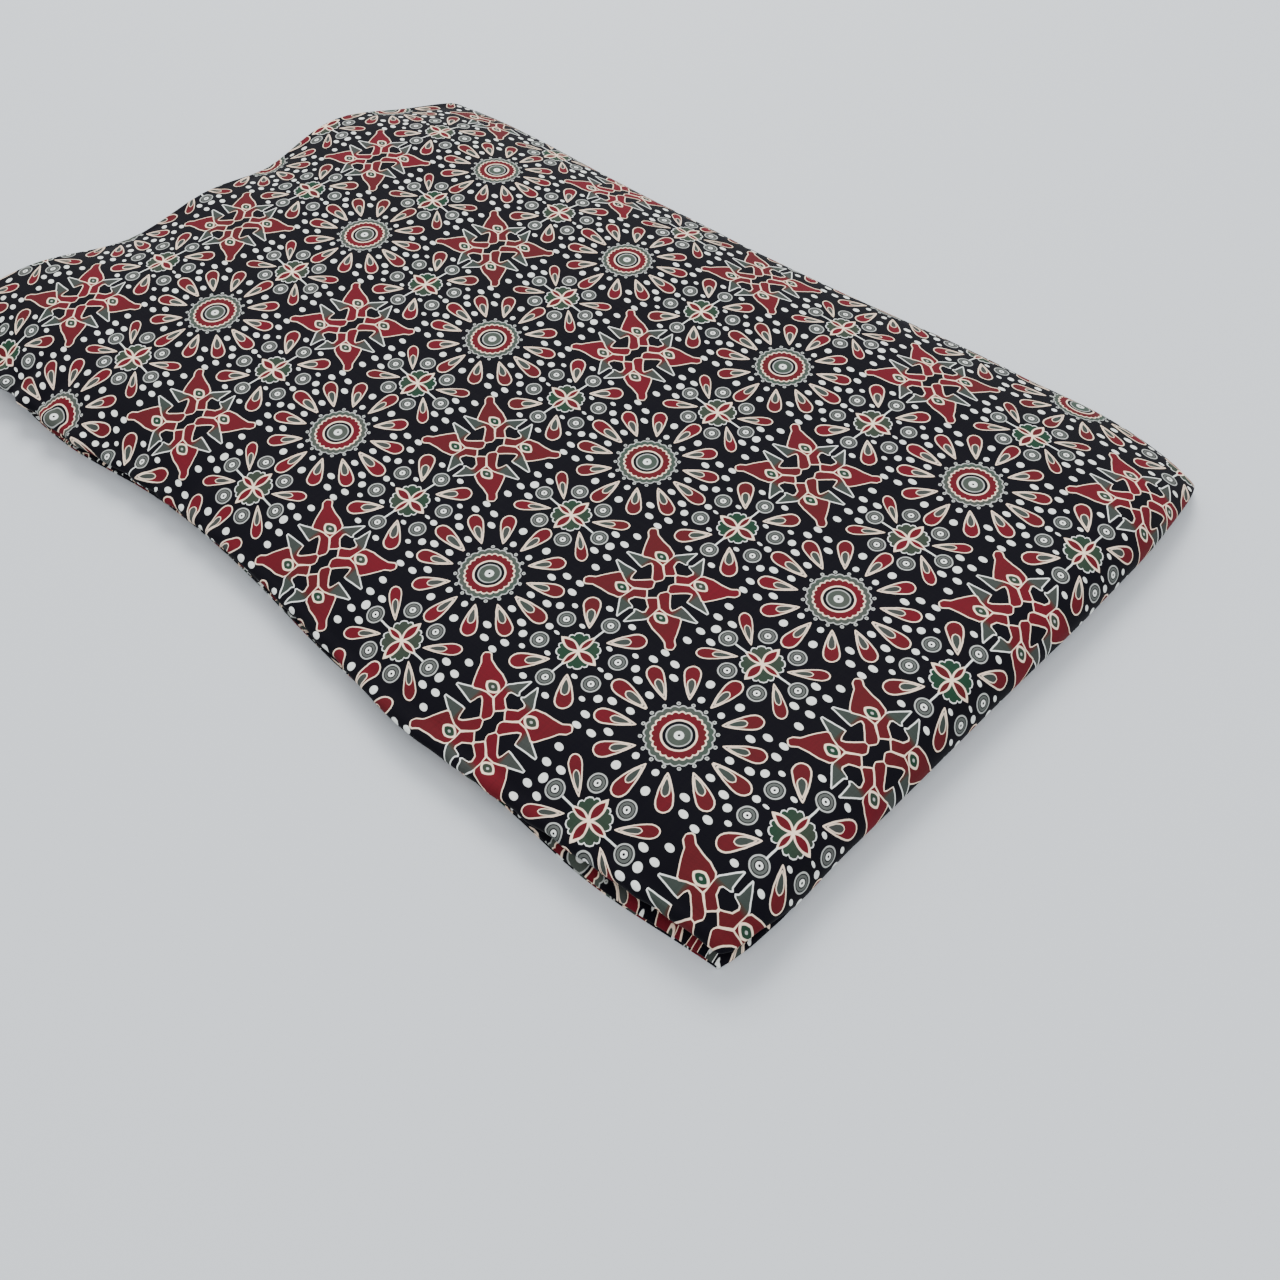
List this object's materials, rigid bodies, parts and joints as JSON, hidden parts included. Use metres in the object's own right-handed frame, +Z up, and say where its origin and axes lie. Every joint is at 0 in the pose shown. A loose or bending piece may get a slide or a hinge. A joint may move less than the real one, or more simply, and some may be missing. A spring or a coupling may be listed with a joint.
{
  "type": "folded ajrakh cloth",
  "caption": "Printed cotton dress length, doubled across its width and laid back and forth into a flat rectangular pile.",
  "frame": {"origin": "centre of the outline, on the flat underside that rests on the surface", "axes": "+X along the pile's long sides towards the doubling fold, +Y across the panels away from the near fold side, +Z up"},
  "size_m": [0.5691, 0.3555, 0.0282],
  "materials": {
    "printed_cotton": "matte printed cotton with a soft calendered sheen"
  },
  "bodies": {
    "root": {"folded_cloth": "printed_cotton"}
  },
  "joints": []
}
